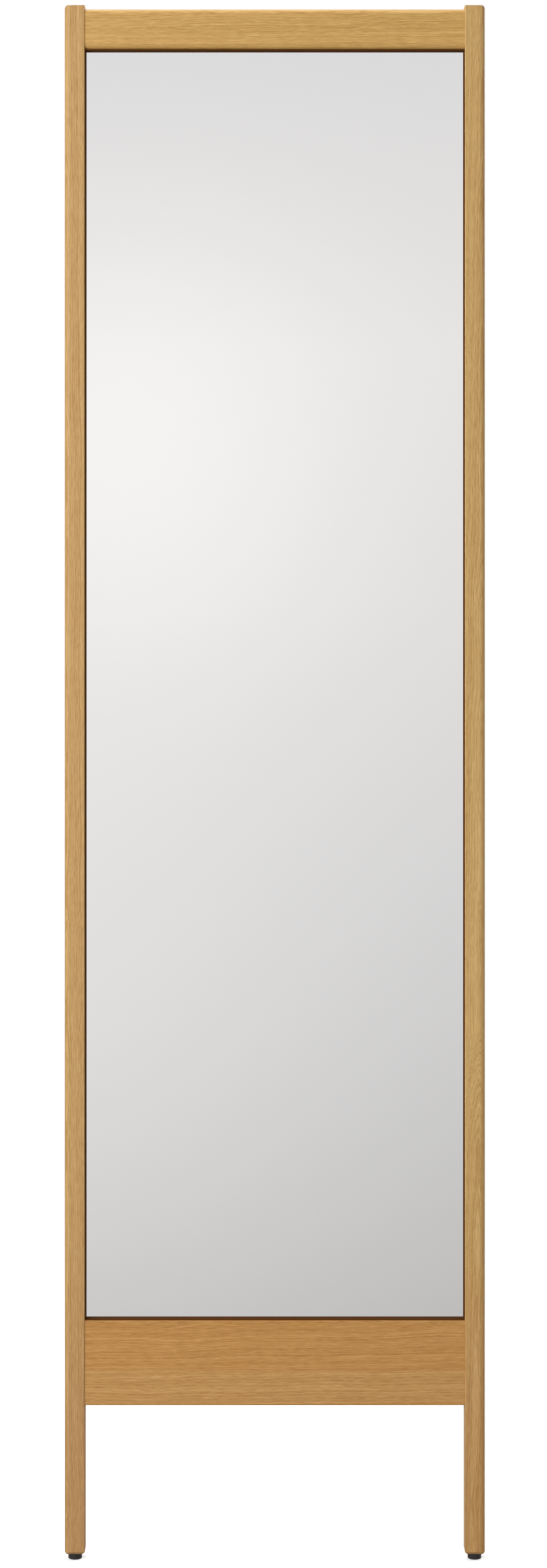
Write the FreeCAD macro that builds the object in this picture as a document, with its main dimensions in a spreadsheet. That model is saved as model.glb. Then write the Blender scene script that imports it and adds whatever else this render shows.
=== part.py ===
import FreeCAD, Part
import math
import os
import re
import Sketcher

os.makedirs("parts", exist_ok=True)
doc = FreeCAD.newDocument("FloorMirror")

# A tall oak mirror that stands on two levelling feet and leans on a wall. Millimetres, Z up, the mirror
# faces -Y, and the origin is on the floor below the middle of the whole part.

DRIVING_SIZES = [
    ("opening_width", 470, "clear width between the stiles"),
    ("opening_height", 1572, "clear height between the rails"),
    ("stile_width", 25, "stile, seen from the front"),
    ("stile_depth", 28, "stile, front to back"),
    ("stile_rise", 4, "stile end above the top rail"),
    ("leg_length", 184, "free stile below the bottom rail"),
    ("top_rail_height", 50, "top rail, seen from the front"),
    ("bottom_rail_height", 105, "bottom rail, seen from the front"),
    ("rail_setback", 1.5, "rail face behind the stile face, front and back"),
    ("stile_front_radius", 7, "round-over of the outer front edge"),
    ("stile_back_radius", 4, "round-over of the outer back edge"),
    ("stile_inner_radius", 1.2, "eased inner edges of a stile"),
    ("stile_top_radius", 4.5, "outer corner of the stile's upper end"),
    ("leg_end_chamfer", 3, "chamfer round the stile's lower end"),
    ("top_rail_radius", 7, "round-over of the top rail's front edges"),
    ("bottom_rail_upper_radius", 1.5, "eased upper front edge of the bottom rail"),
    ("bottom_rail_lower_radius", 2, "eased lower front edge of the bottom rail"),
    ("rail_back_radius", 2.5, "eased outer back edge of a rail"),
    ("lip_thickness", 9.1, "wood of a rail in front of the glass rebate"),
    ("glass_step", 6.5, "glass rebate beyond the sight edge"),
    ("panel_step", 16, "panel rebate beyond the sight edge"),
    ("glass_clearance", 1, "round the glass in its rebate"),
    ("panel_clearance", 0.5, "round the back panel in its rebate"),
    ("glass_thickness", 4, "mirror glass"),
    ("glass_arris", 0.5, "ground arris of the glass"),
    ("film_thickness", 0.2, "safety film behind the glass"),
    ("film_margin", 2, "film edge inside the glass edge"),
    ("tape_thickness", 1, "double-sided foam tape"),
    ("tape_width", 19, "one strip of tape"),
    ("tape_end_gap", 60, "tape end inside the sight edge"),
    ("tape_spacing", 170, "between the middles of two strips of tape"),
    ("panel_thickness", 6, "back panel"),
    ("block_length", 25, "setting block under the glass"),
    ("block_spacing", 260, "between the two setting blocks"),
    ("strip_thickness", 1.3, "glazing strip, inside the sight edge"),
    ("strip_leg", 6.6, "glazing strip in front of the glass"),
    ("strip_flange_thickness", 1, "glazing strip between lip and glass"),
    ("strip_flange_width", 5, "glazing strip beyond the sight edge"),
    ("dowel_diameter", 8, "beech dowel"),
    ("dowel_length", 40, "beech dowel"),
    ("dowel_chamfer", 1, "dowel ends"),
    ("dowel_in_stile", 16, "dowel's reach into the stile"),
    ("dowel_clearance", 0.1, "glue room round a dowel"),
    ("dowel_end_gap", 1, "glue room at a dowel's end"),
    ("top_dowel_low", 24, "first dowel above the top rail's lower edge"),
    ("top_dowel_pitch", 16, "between dowels of the top rail"),
    ("bottom_dowel_low", 20, "first dowel above the bottom rail's lower edge"),
    ("bottom_dowel_pitch", 30, "between dowels of the bottom rail"),
    ("screw_diameter", 3, "back panel screw"),
    ("screw_length", 16, "screw under its head"),
    ("screw_tip", 3, "tapered end of a screw"),
    ("screw_head_diameter", 6.5, "pan head"),
    ("screw_head_height", 2, "pan head"),
    ("screw_head_radius", 1.2, "rounded rim of the pan head"),
    ("pilot_clearance", 0.05, "between screw core and pilot hole"),
    ("pilot_spare", 0.3, "pilot hole beyond the screw's tip"),
    ("panel_hole_clearance", 0.3, "round a screw in the back panel"),
    ("side_screw_end_gap", 80, "end screws of a side from the sight edge's end"),
    ("end_screw_spacing", 240, "between the two screws of a rail"),
    ("pad_diameter", 17, "foot pad"),
    ("pad_height", 7.5, "foot pad"),
    ("pad_foot_radius", 1.5, "foot pad's lower edge"),
    ("pad_top_radius", 0.8, "foot pad's upper edge"),
    ("pad_floor", 2.5, "foot pad under the stem's head"),
    ("pad_key_hole", 5, "hole for the key under the pad"),
    ("foot_gap", 0.5, "between pad and leg end at the lowest setting"),
    ("stem_diameter", 6, "threaded stem"),
    ("stem_length", 31, "threaded stem above its head"),
    ("stem_tip", 1, "chamfer at the stem's upper end"),
    ("stem_head_diameter", 10, "stem's head, held in the pad"),
    ("stem_head_height", 2.4, "stem's head"),
    ("swivel_clearance", 0.2, "round the stem's head in the pad"),
    ("socket_width", 3, "key socket across its flats"),
    ("socket_depth", 3, "key socket"),
    ("thread_clearance", 0.1, "between stem and insert"),
    ("insert_diameter", 9, "threaded insert in the leg"),
    ("insert_length", 13, "threaded insert"),
    ("insert_lead", 0.6, "chamfered rims of the insert"),
    ("insert_clearance", 0.05, "between insert and leg"),
    ("stem_hole_diameter", 7, "hole above the insert"),
    ("stem_hole_spare", 2, "hole beyond the stem's end"),
    ("bumper_diameter", 12, "wall bumper"),
    ("bumper_proud", 2.5, "wall bumper behind the stile"),
    ("bumper_edge_radius", 1, "rim of the wall bumper"),
    ("bumper_stem_diameter", 5, "plug of the wall bumper"),
    ("bumper_stem_length", 6, "plug of the wall bumper"),
    ("bumper_clearance", 0.05, "between plug and hole"),
    ("bumper_hole_spare", 0.5, "hole beyond the plug's end"),
    ("bumper_drop", 14, "bumper below the stile's upper end"),
    ("bracket_screw_diameter", 5, "thread of a wall bracket's screw"),
    ("bracket_insert_diameter", 8, "threaded insert for the wall bracket"),
    ("bracket_insert_length", 10, "threaded insert for the wall bracket"),
    ("bracket_hole_spare", 4, "hole beyond the insert"),
    ("bracket_height", 33, "inserts above the top rail's lower edge"),
    ("bracket_spacing", 320, "between the two inserts"),
    ("overrun", 1, "how far a cut reaches past the wood"),
]

# Lengths and places that follow from the driving sizes. Depths are behind the front face of a rail,
# and heights are above the stile's lower end.
FOLLOWING_SIZES = {
    "sight_low": "leg_length + bottom_rail_height",
    "sight_high": "sight_low + opening_height",
    "stile_length": "sight_high + top_rail_height + stile_rise",
    "rail_depth": "stile_depth - 2 * rail_setback",
    "glass_front": "lip_thickness + strip_flange_thickness",
    "film_front": "glass_front + glass_thickness",
    "tape_front": "film_front + film_thickness",
    "panel_front": "tape_front + tape_thickness",
    "panel_back": "panel_front + panel_thickness",
    "foot_drop": "pad_height + foot_gap",
    "frame_front": "-(stile_depth + bumper_proud) / 2",
    "rail_front": "frame_front + rail_setback",
    "glass_overlap": "glass_step - glass_clearance",
    "panel_overlap": "panel_step - panel_clearance",
    "screw_line": "(glass_step + panel_step) / 2",
    "pilot_diameter": "screw_diameter + 2 * pilot_clearance",
    "pilot_depth": "screw_length - panel_thickness + pilot_spare",
    "dowel_hole": "dowel_diameter + 2 * dowel_clearance",
    "dowel_in_rail": "dowel_length - dowel_in_stile",
    "swivel_play": "swivel_clearance / 2",
    "stem_reach": "pad_floor + swivel_play + stem_head_height + stem_length - foot_drop",
    "foot_axis": "(opening_width + stile_width) / 2",
}

SIDE_SCREWS = 5
TOP_DOWELS = 2
BOTTOM_DOWELS = 3
SOCKET_FLATS = 6
LEFT = -1
RIGHT = 1

sizes = doc.addObject("Spreadsheet::Sheet", "Sizes")
for row, (alias, number, meaning) in enumerate(DRIVING_SIZES, start=1):
    sizes.set(f"A{row}", meaning)
    sizes.set(f"B{row}", str(number))
    sizes.setAlias(f"B{row}", alias)
doc.recompute()
ALIASES = {alias for alias, number, meaning in DRIVING_SIZES}


def formula(text):
    """Writes a formula of plain size names in the sheet's own terms."""

    def spell(word):
        name = word.group()
        if name in FOLLOWING_SIZES:
            return f"({formula(FOLLOWING_SIZES[name])})"
        return f"Sizes.{name}" if name in ALIASES else name

    return re.sub(r"[a-z_]+", spell, text)


def value(text):
    return float(sizes.evalExpression(formula(text)))


def place(thing, across, back, up):
    """Puts a sub-part's own origin at a point of the whole mirror."""
    for axis, text in zip("xyz", (across, back, up)):
        thing.setExpression(f"Placement.Base.{axis}", formula(text))


def new_body(name, across="0", back="0", up="0"):
    body = doc.addObject("PartDesign::Body", name)
    body.Label = name
    place(body, across, back, up)
    return body


def new_sketch(body, plane, offset):
    sketch = body.newObject("Sketcher::SketchObject", f"{body.Label}_outline")
    support = [feature for feature in body.Origin.OriginFeatures if feature.Role == plane]
    sketch.AttachmentSupport = (support[0], [""])
    sketch.MapMode = "FlatFace"
    sketch.setExpression("AttachmentOffset.Base.z", formula(offset))
    return sketch


def front_sketch(body, back="0"):
    """A sketch seen from the front: across and up, at a depth behind the body's own front."""
    return new_sketch(body, "XZ_Plane", f"-({back})")


def side_sketch(body, across="0"):
    """A sketch seen from the right: back and up."""
    return new_sketch(body, "YZ_Plane", across)


def plan_sketch(body, up="0"):
    """A sketch seen from above: across and back."""
    return new_sketch(body, "XY_Plane", up)


def bind(sketch, kind, *places, text):
    number = sketch.addConstraint(Sketcher.Constraint(kind, *places, value(text)))
    sketch.setExpression(f"Constraints[{number}]", formula(text))


def pin_down(sketch, edge, end, across, up):
    bind(sketch, "DistanceX", -1, 1, edge, end, text=across)
    bind(sketch, "DistanceY", -1, 1, edge, end, text=up)


def arc_between(start, stop, radius, turn):
    """The shorter arc between two points; turn is 1 where it bends left and -1 where it bends right."""
    chord = stop - start
    left = FreeCAD.Vector(-chord.y, chord.x, 0)
    left.normalize()
    rise = math.sqrt(radius**2 - (chord.Length / 2) ** 2)
    centre = start + chord * 0.5 + left * (rise * turn)
    angles = [math.atan2(spot.y - centre.y, spot.x - centre.x) for spot in (start, stop)]
    circle = Part.Circle(centre, FreeCAD.Vector(0, 0, 1), radius)
    return Part.ArcOfCircle(circle, *angles[::turn])


def outline(sketch, corners):
    """A closed outline. A corner is (across, up), reached by a straight edge, or
    (across, up, radius, turn), reached by an arc."""
    spots = [FreeCAD.Vector(value(corner[0]), value(corner[1]), 0) for corner in corners]
    edges = []
    for number, corner in enumerate(corners):
        start, stop = spots[number - 1], spots[number]
        if len(corner) == 2:
            edge = sketch.addGeometry(Part.LineSegment(start, stop), False)
            edges.append((edge, 1, 2))
        else:
            radius, turn = corner[2:]
            edge = sketch.addGeometry(arc_between(start, stop, value(radius), turn), False)
            edges.append((edge, 1, 2) if turn > 0 else (edge, 2, 1))
            bind(sketch, "Radius", edge, text=radius)
    for number, corner in enumerate(corners):
        edge, entry, leave = edges[number]
        next_edge, next_entry, next_leave = edges[(number + 1) % len(edges)]
        sketch.addConstraint(Sketcher.Constraint("Coincident", edge, leave, next_edge, next_entry))
        pin_down(sketch, edge, leave, corner[0], corner[1])


def rectangle(sketch, left, low, right, high):
    outline(sketch, [(left, low), (right, low), (right, high), (left, high)])


def circle(sketch, across, up, diameter):
    centre = FreeCAD.Vector(value(across), value(up), 0)
    round_edge = Part.Circle(centre, FreeCAD.Vector(0, 0, 1), value(diameter) / 2)
    edge = sketch.addGeometry(round_edge, False)
    pin_down(sketch, edge, 3, across, up)
    bind(sketch, "Diameter", edge, text=diameter)


def pad(body, sketch, length, backward=False):
    """Makes the sketch solid along its own axis, or the other way."""
    feature = body.newObject("PartDesign::Pad", f"{body.Label}_pad")
    feature.Profile = sketch
    feature.Reversed = backward
    feature.setExpression("Length", formula(length))
    doc.recompute()
    return feature


def cut(body, sketch, length=None, forward=False):
    """Cuts the sketch out, to a length or through all that lies behind it."""
    feature = body.newObject("PartDesign::Pocket", f"{body.Label}_cut")
    feature.Profile = sketch
    feature.Reversed = forward
    if length is None:
        feature.Type = "ThroughAll"
    else:
        feature.setExpression("Length", formula(length))
    doc.recompute()
    return feature


def revolve(body, sketch, axis="V_Axis"):
    feature = body.newObject("PartDesign::Revolution", f"{body.Label}_revolved")
    feature.Profile = sketch
    feature.ReferenceAxis = (sketch, [axis])
    feature.Angle = 360
    doc.recompute()
    return feature


def group(name, piece, spots):
    """Like pieces in one sub-part: the one modelled piece, placed at each spot."""
    links = []
    for across, back, up in spots:
        link = doc.addObject("App::Link", f"{name}_piece")
        link.LinkedObject = piece
        for axis, text in zip("xyz", (across, back, up)):
            link.setExpression(f"LinkPlacement.Base.{axis}", formula(text))
        links.append(link)
    compound = doc.addObject("Part::Compound", name)
    compound.Label = name
    compound.Links = links
    doc.recompute()
    return compound


def side_screw_heights():
    """The screws up one side, above the lower sight edge."""
    pitch = f"(opening_height - 2 * side_screw_end_gap) / {SIDE_SCREWS - 1}"
    return [f"side_screw_end_gap + {number} * {pitch}" for number in range(SIDE_SCREWS)]


def panel_screw_spots():
    """Every back panel screw, across from the middle and up from the lower sight edge."""
    spots = []
    for side in (LEFT, RIGHT):
        across = f"{side} * (opening_width / 2 + screw_line)"
        spots += [(across, height) for height in side_screw_heights()]
        for height in ("-screw_line", "opening_height + screw_line"):
            spots.append((f"{side} * end_screw_spacing / 2", height))
    return spots


def dowel_heights(rail):
    """The dowels of one rail, above its lower edge."""
    count = TOP_DOWELS if rail == "top" else BOTTOM_DOWELS
    return [f"{rail}_dowel_low + {number} * {rail}_dowel_pitch" for number in range(count)]


def stile(name, side):
    """An upright, which is also a leg. Its own origin is at the lower end, on the front of its inner face,
    so the left stile lies at negative across values and the right one at positive ones."""
    body = new_body(name, f"{side} * opening_width / 2", "frame_front", "foot_drop")
    width = f"{side} * stile_width"
    overrun = f"{side} * overrun"

    section = plan_sketch(body)
    outline(
        section,
        [
            (f"{side} * stile_inner_radius", "0", "stile_inner_radius", side),
            (f"{side} * (stile_width - stile_front_radius)", "0"),
            (width, "stile_front_radius", "stile_front_radius", side),
            (width, "stile_depth - stile_back_radius"),
            (f"{side} * (stile_width - stile_back_radius)", "stile_depth", "stile_back_radius", side),
            (f"{side} * stile_inner_radius", "stile_depth"),
            ("0", "stile_depth - stile_inner_radius", "stile_inner_radius", side),
            ("0", "stile_inner_radius"),
        ],
    )
    pad(body, section, "stile_length")

    top_corner = front_sketch(body)
    shoulder = f"{side} * (stile_width - stile_top_radius)"
    outline(
        top_corner,
        [
            (shoulder, "stile_length"),
            (width, "stile_length - stile_top_radius", "stile_top_radius", -side),
            (f"{width} + {overrun}", "stile_length - stile_top_radius"),
            (f"{width} + {overrun}", "stile_length + overrun"),
            (shoulder, "stile_length + overrun"),
        ],
    )
    cut(body, top_corner)

    across_chamfers = front_sketch(body)
    for edge, inward in (("0", side), (width, -side)):
        outline(
            across_chamfers,
            [
                (f"{edge} - {inward} * overrun", "-overrun"),
                (f"{edge} + {inward} * (leg_end_chamfer + overrun)", "-overrun"),
                (f"{edge} - {inward} * overrun", "leg_end_chamfer + overrun"),
            ],
        )
    cut(body, across_chamfers)
    depth_chamfers = side_sketch(body)
    for edge, inward in (("0", 1), ("stile_depth", -1)):
        outline(
            depth_chamfers,
            [
                (f"{edge} - {inward} * overrun", "-overrun"),
                (f"{edge} + {inward} * (leg_end_chamfer + overrun)", "-overrun"),
                (f"{edge} - {inward} * overrun", "leg_end_chamfer + overrun"),
            ],
        )
    cut(body, depth_chamfers, forward=side == RIGHT)

    for step, front in (("glass_step", "lip_thickness"), ("panel_step", "panel_front")):
        rebate = front_sketch(body, f"rail_setback + {front}")
        rectangle(
            rebate,
            f"-({overrun})",
            f"sight_low - {step}",
            f"{side} * {step}",
            f"sight_high + {step}",
        )
        cut(body, rebate)

    dowel_holes = side_sketch(body)
    for rail, base in (("bottom", "leg_length"), ("top", "sight_high")):
        for height in dowel_heights(rail):
            circle(dowel_holes, "stile_depth / 2", f"{base} + {height}", "dowel_hole")
    cut(body, dowel_holes, "dowel_in_stile + dowel_end_gap", forward=side == RIGHT)

    pilots = front_sketch(body, "rail_setback + panel_front - pilot_depth")
    for height in side_screw_heights():
        circle(pilots, f"{side} * screw_line", f"sight_low + {height}", "pilot_diameter")
    cut(body, pilots)

    foot_holes = (
        ("insert_diameter + 2 * insert_clearance", "insert_length"),
        ("stem_hole_diameter", "stem_reach + stem_hole_spare"),
    )
    for diameter, depth in foot_holes:
        foot_hole = plan_sketch(body)
        circle(foot_hole, f"{width} / 2", "stile_depth / 2", diameter)
        cut(body, foot_hole, depth, forward=True)

    bumper_hole = front_sketch(body, "stile_depth - bumper_stem_length - bumper_hole_spare")
    diameter = "bumper_stem_diameter + 2 * bumper_clearance"
    circle(bumper_hole, f"{width} / 2", "stile_length - bumper_drop", diameter)
    cut(body, bumper_hole)
    return body


def rail_end_holes(body, rail):
    """Dowel holes in both ends of a rail."""
    for across in ("0", "opening_width"):
        holes = side_sketch(body, across)
        for height in dowel_heights(rail):
            circle(holes, "rail_depth / 2", height, "dowel_hole")
        cut(body, holes, "dowel_in_rail + dowel_end_gap", forward=across == "0")


def rail_pilots(body, height):
    """The two pilot holes for back panel screws."""
    pilots = front_sketch(body, "panel_front - pilot_depth")
    for side in (LEFT, RIGHT):
        across = f"opening_width / 2 + {side} * end_screw_spacing / 2"
        circle(pilots, across, height, "pilot_diameter")
    cut(body, pilots)


def top_rail():
    """Moulded to its section in one length: both front edges rounded over, and the glass and panel
    rebates run out at the ends. Its own origin is at the left end, front and lower edge."""
    body = new_body("top_rail", "-opening_width / 2", "rail_front", "foot_drop + sight_high")
    section = side_sketch(body)
    outline(
        section,
        [
            ("top_rail_radius", "0", "top_rail_radius", 1),
            ("lip_thickness", "0"),
            ("lip_thickness", "glass_step"),
            ("panel_front", "glass_step"),
            ("panel_front", "panel_step"),
            ("rail_depth", "panel_step"),
            ("rail_depth", "top_rail_height - rail_back_radius"),
            ("rail_depth - rail_back_radius", "top_rail_height", "rail_back_radius", 1),
            ("top_rail_radius", "top_rail_height"),
            ("0", "top_rail_height - top_rail_radius", "top_rail_radius", 1),
            ("0", "top_rail_radius"),
        ],
    )
    pad(body, section, "opening_width")
    rail_end_holes(body, "top")
    rail_pilots(body, "screw_line")
    sockets = front_sketch(body, "rail_depth - bracket_insert_length - bracket_hole_spare")
    for side in (LEFT, RIGHT):
        across = f"opening_width / 2 + {side} * bracket_spacing / 2"
        circle(sockets, across, "bracket_height", "bracket_insert_diameter + 2 * insert_clearance")
    cut(body, sockets)
    return body


def bottom_rail():
    """The wide rail, with crisp front edges and the rebates along its upper edge."""
    body = new_body("bottom_rail", "-opening_width / 2", "rail_front", "foot_drop + leg_length")
    section = side_sketch(body)
    outline(
        section,
        [
            ("bottom_rail_lower_radius", "0", "bottom_rail_lower_radius", 1),
            ("rail_depth - rail_back_radius", "0"),
            ("rail_depth", "rail_back_radius", "rail_back_radius", 1),
            ("rail_depth", "bottom_rail_height - panel_step"),
            ("panel_front", "bottom_rail_height - panel_step"),
            ("panel_front", "bottom_rail_height - glass_step"),
            ("lip_thickness", "bottom_rail_height - glass_step"),
            ("lip_thickness", "bottom_rail_height"),
            ("bottom_rail_upper_radius", "bottom_rail_height"),
            ("0", "bottom_rail_height - bottom_rail_upper_radius", "bottom_rail_upper_radius", 1),
            ("0", "bottom_rail_lower_radius"),
        ],
    )
    pad(body, section, "opening_width")
    rail_end_holes(body, "bottom")
    rail_pilots(body, "bottom_rail_height - screw_line")
    return body


def rail_dowels(name, rail, base, dowel):
    """The dowels of one rail, half of them at each end; a dowel's own origin is its middle."""
    spots = []
    for side in (LEFT, RIGHT):
        reach = f"{side} * (opening_width / 2 + dowel_in_stile - dowel_length / 2)"
        for height in dowel_heights(rail):
            spots.append((reach, "frame_front + stile_depth / 2", f"foot_drop + {base} + {height}"))
    return group(name, dowel, spots)


def dowel_body():
    body = new_body("beech_dowel")
    profile = plan_sketch(body)
    half = "dowel_length / 2"
    radius = "dowel_diameter / 2"
    outline(
        profile,
        [
            (f"-{half}", "0"),
            (half, "0"),
            (half, f"{radius} - dowel_chamfer"),
            (f"{half} - dowel_chamfer", radius),
            (f"-{half} + dowel_chamfer", radius),
            (f"-{half}", f"{radius} - dowel_chamfer"),
        ],
    )
    revolve(body, profile, "H_Axis")
    return body


def sheet_body(name, front, thickness, width, low, high):
    """A flat sheet behind the opening, centred across it; low and high are above the stile's end."""
    body = new_body(name, "0", f"rail_front + {front}", f"foot_drop + {low}")
    face = front_sketch(body)
    rectangle(face, f"-({width}) / 2", "0", f"({width}) / 2", f"{high} - ({low})")
    return body, pad(body, face, thickness, backward=True)


def mirror_glass():
    """Float glass silvered on its back, with ground arrises."""
    body, sheet = sheet_body(
        "mirror_glass",
        "glass_front",
        "glass_thickness",
        "opening_width + 2 * glass_overlap",
        "sight_low - glass_overlap",
        "sight_high + glass_overlap",
    )
    normals = [face.normalAt(0, 0) for face in sheet.Shape.Faces]
    flats = [
        f"Face{number}"
        for number, normal in enumerate(normals, start=1)
        if abs(normal.y) > abs(normal.x) + abs(normal.z)
    ]
    arris = body.newObject("PartDesign::Chamfer", "glass_arris")
    arris.Base = (sheet, flats)
    arris.setExpression("Size", formula("glass_arris"))
    doc.recompute()
    return body


def safety_film():
    """Adhesive film that holds the splinters together if the glass breaks."""
    reach = "(glass_overlap - film_margin)"
    return sheet_body(
        "safety_film",
        "film_front",
        "film_thickness",
        f"opening_width + 2 * {reach}",
        f"sight_low - {reach}",
        f"sight_high + {reach}",
    )[0]


def mounting_tape():
    """Three upright strips of tape, which carry the glass on the back panel."""
    strip = new_body("tape_strip")
    face = front_sketch(strip)
    rectangle(face, "-tape_width / 2", "0", "tape_width / 2", "opening_height - 2 * tape_end_gap")
    pad(strip, face, "tape_thickness", backward=True)
    up = "foot_drop + sight_low + tape_end_gap"
    spots = [(f"{step} * tape_spacing", "rail_front + tape_front", up) for step in (LEFT, 0, RIGHT)]
    return group("mounting_tape", strip, spots)


def back_panel():
    """The panel that closes the rebate, with a clearance hole for each screw."""
    body = new_body("back_panel", "0", "rail_front + panel_front", "foot_drop + sight_low")
    face = front_sketch(body)
    half = "(opening_width / 2 + panel_overlap)"
    rectangle(face, f"-{half}", "-panel_overlap", half, "opening_height + panel_overlap")
    for across, up in panel_screw_spots():
        circle(face, across, up, "screw_diameter + 2 * panel_hole_clearance")
    pad(body, face, "panel_thickness", backward=True)
    return body


def back_panel_screws():
    """Pan-head screws; a screw's own origin is under its head, on the panel."""
    screw = new_body("panel_screw")
    profile = plan_sketch(screw)
    head = "screw_head_diameter / 2"
    core = "screw_diameter / 2"
    outline(
        profile,
        [
            ("0", "-screw_length"),
            (core, "-screw_length + screw_tip"),
            (core, "0"),
            (head, "0"),
            (head, "screw_head_height - screw_head_radius"),
            (f"{head} - screw_head_radius", "screw_head_height", "screw_head_radius", 1),
            ("0", "screw_head_height"),
        ],
    )
    revolve(screw, profile)
    spots = [
        (across, "rail_front + panel_back", f"foot_drop + sight_low + ({up})")
        for across, up in panel_screw_spots()
    ]
    return group("back_panel_screws", screw, spots)


def glass_setting_blocks():
    """Two rubber blocks between the glass and the bottom rail's rebate."""
    block = new_body("setting_block")
    face = front_sketch(block)
    rectangle(face, "-block_length / 2", "0", "block_length / 2", "glass_clearance")
    pad(block, face, "glass_thickness", backward=True)
    back = "rail_front + glass_front"
    up = "foot_drop + sight_low - glass_step"
    spots = [(f"{side} * block_spacing / 2", back, up) for side in (LEFT, RIGHT)]
    return group("glass_setting_blocks", block, spots)


def glazing_strip(name, length, quarter_turns, across, up):
    """One mitred length of the dark strip round the glass. Its leg lines the sight edge and its flange
    lies between the lip and the glass. Its own origin is the middle of its sight edge, front of the
    glass, and its own up points into the opening."""
    body = new_body(name)
    turn = FreeCAD.Rotation(FreeCAD.Vector(0, 1, 0), 90 * quarter_turns)
    body.Placement = FreeCAD.Placement(FreeCAD.Vector(), turn)
    place(body, across, "rail_front + glass_front", up)
    half = f"({length}) / 2"
    inner_edge = [
        (f"{half} - strip_thickness", "strip_thickness"),
        (f"-{half} + strip_thickness", "strip_thickness"),
    ]
    outer_edge = [
        (f"-{half} - strip_flange_width", "-strip_flange_width"),
        (f"{half} + strip_flange_width", "-strip_flange_width"),
    ]
    leg = front_sketch(body)
    outline(leg, [(f"-{half}", "0"), (half, "0")] + inner_edge)
    pad(body, leg, "strip_leg")
    flange = front_sketch(body)
    outline(flange, outer_edge + inner_edge)
    pad(body, flange, "strip_flange_thickness")
    return body


def threaded_insert(body, profile, bore, rim, low, high):
    """A turned insert with chamfered rims, between two places on its axis; the thread is a plain bore."""
    outline(
        profile,
        [
            (bore, low),
            (f"{rim} - insert_lead", low),
            (rim, f"{low} + insert_lead"),
            (rim, f"{high} - insert_lead"),
            (f"{rim} - insert_lead", high),
            (bore, high),
        ],
    )
    revolve(body, profile)
    return body


def wall_bracket_inserts():
    """Two threaded inserts, flush with the back of the top rail, for the bracket or strap that keeps
    the leaning mirror from tipping forward."""
    insert = new_body("bracket_insert")
    threaded_insert(
        insert,
        plan_sketch(insert),
        "bracket_screw_diameter / 2",
        "bracket_insert_diameter / 2",
        "-bracket_insert_length",
        "0",
    )
    up = "foot_drop + sight_high + bracket_height"
    spots = [(f"{side} * bracket_spacing / 2", "rail_front + rail_depth", up) for side in (LEFT, RIGHT)]
    return group("wall_bracket_inserts", insert, spots)


def foot_insert(name, side):
    """Threaded insert, flush with the leg's end."""
    body = new_body(name, f"{side} * foot_axis", "frame_front + stile_depth / 2", "foot_drop")
    bore = "stem_diameter / 2 + thread_clearance"
    return threaded_insert(body, front_sketch(body), bore, "insert_diameter / 2", "0", "insert_length")


def foot_stem(name, side):
    """Threaded stem with a flat head that turns in the pad, and a key socket reached from below."""
    up = "pad_floor + swivel_play"
    body = new_body(name, f"{side} * foot_axis", "frame_front + stile_depth / 2", up)
    profile = front_sketch(body)
    shank = "stem_diameter / 2"
    top = "stem_head_height + stem_length"
    outline(
        profile,
        [
            ("0", "0"),
            ("stem_head_diameter / 2", "0"),
            ("stem_head_diameter / 2", "stem_head_height"),
            (shank, "stem_head_height"),
            (shank, f"{top} - stem_tip"),
            (f"{shank} - stem_tip", top),
            ("0", top),
        ],
    )
    revolve(body, profile)
    socket = plan_sketch(body)
    corner_share = 0.5 / math.cos(math.pi / SOCKET_FLATS)
    turns = [2 * math.pi * number / SOCKET_FLATS for number in range(SOCKET_FLATS)]
    outline(
        socket,
        [
            (
                f"{corner_share * math.cos(turn):.6f} * socket_width",
                f"{corner_share * math.sin(turn):.6f} * socket_width",
            )
            for turn in turns
        ],
    )
    cut(body, socket, "socket_depth", forward=True)
    return body


def foot_pad(name, side):
    """Moulded pad that stands on the floor and holds the stem's head in a closed pocket."""
    body = new_body(name, f"{side} * foot_axis", "frame_front + stile_depth / 2", "0")
    profile = front_sketch(body)
    rim = "pad_diameter / 2"
    neck = "stem_diameter / 2 + swivel_clearance"
    pocket = "stem_head_diameter / 2 + swivel_clearance"
    ceiling = "pad_floor + stem_head_height + swivel_clearance"
    outline(
        profile,
        [
            ("pad_key_hole / 2", "0"),
            (f"{rim} - pad_foot_radius", "0"),
            (rim, "pad_foot_radius", "pad_foot_radius", 1),
            (rim, "pad_height - pad_top_radius"),
            (f"{rim} - pad_top_radius", "pad_height", "pad_top_radius", 1),
            (neck, "pad_height"),
            (neck, ceiling),
            (pocket, ceiling),
            (pocket, "pad_floor"),
            ("pad_key_hole / 2", "pad_floor"),
        ],
    )
    revolve(body, profile)
    return body


def wall_bumper(name, side):
    """Soft button pressed into the stile's back, where the leaning mirror meets the wall."""
    up = "foot_drop + stile_length - bumper_drop"
    body = new_body(name, f"{side} * foot_axis", "frame_front + stile_depth", up)
    profile = plan_sketch(body)
    rim = "bumper_diameter / 2"
    plug = "bumper_stem_diameter / 2"
    outline(
        profile,
        [
            ("0", "-bumper_stem_length"),
            (plug, "-bumper_stem_length"),
            (plug, "0"),
            (rim, "0"),
            (rim, "bumper_proud - bumper_edge_radius"),
            (f"{rim} - bumper_edge_radius", "bumper_proud", "bumper_edge_radius", 1),
            ("0", "bumper_proud"),
        ],
    )
    revolve(body, profile)
    return body


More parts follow.
